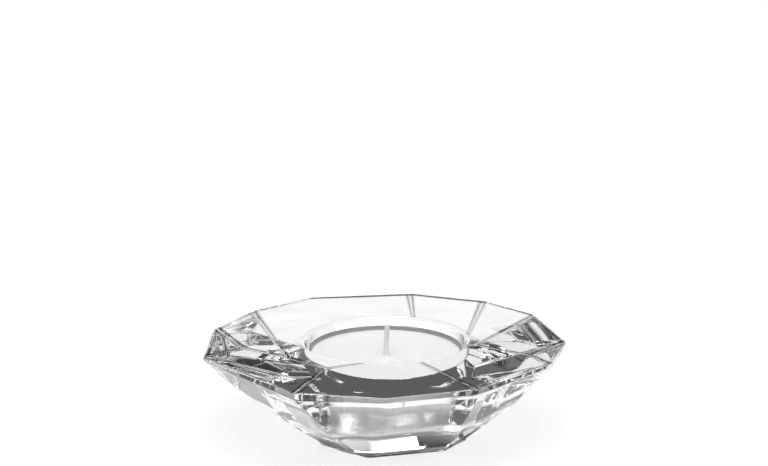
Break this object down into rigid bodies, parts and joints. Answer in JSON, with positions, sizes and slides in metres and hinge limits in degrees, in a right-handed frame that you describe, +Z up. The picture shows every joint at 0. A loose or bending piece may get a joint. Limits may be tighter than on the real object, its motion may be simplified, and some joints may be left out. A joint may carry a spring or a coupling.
{
  "type": "votive candle holder",
  "caption": "Low faceted clear-glass votive candle holder with a round well, and the tealight that stands in it and lifts straight out.",
  "frame": {"origin": "centre of the well's axis, on the surface that the foot stands on", "axes": "+Z up along the well's axis, -Y toward the viewer of the picture, +X to the viewer's right"},
  "size_m": [0.0895, 0.0822, 0.0288],
  "materials": {
    "clear_glass": "polished",
    "aluminium": "pressed foil, satin",
    "white_wax": "soft sheen",
    "cotton": "braided",
    "tinned_steel": "plain"
  },
  "bodies": {
    "holder": {"glass_holder": "clear_glass"},
    "tealight": {"tealight_cup": "aluminium", "tealight_wax": "white_wax", "tealight_wick": "cotton", "wick_sustainer": "tinned_steel"}
  },
  "joints": [
    {"name": "tealight_lift", "type": "slide", "parent": "holder", "child": "tealight", "axis": [0, 0, 1], "range_m": [0, 0.04]}
  ]
}
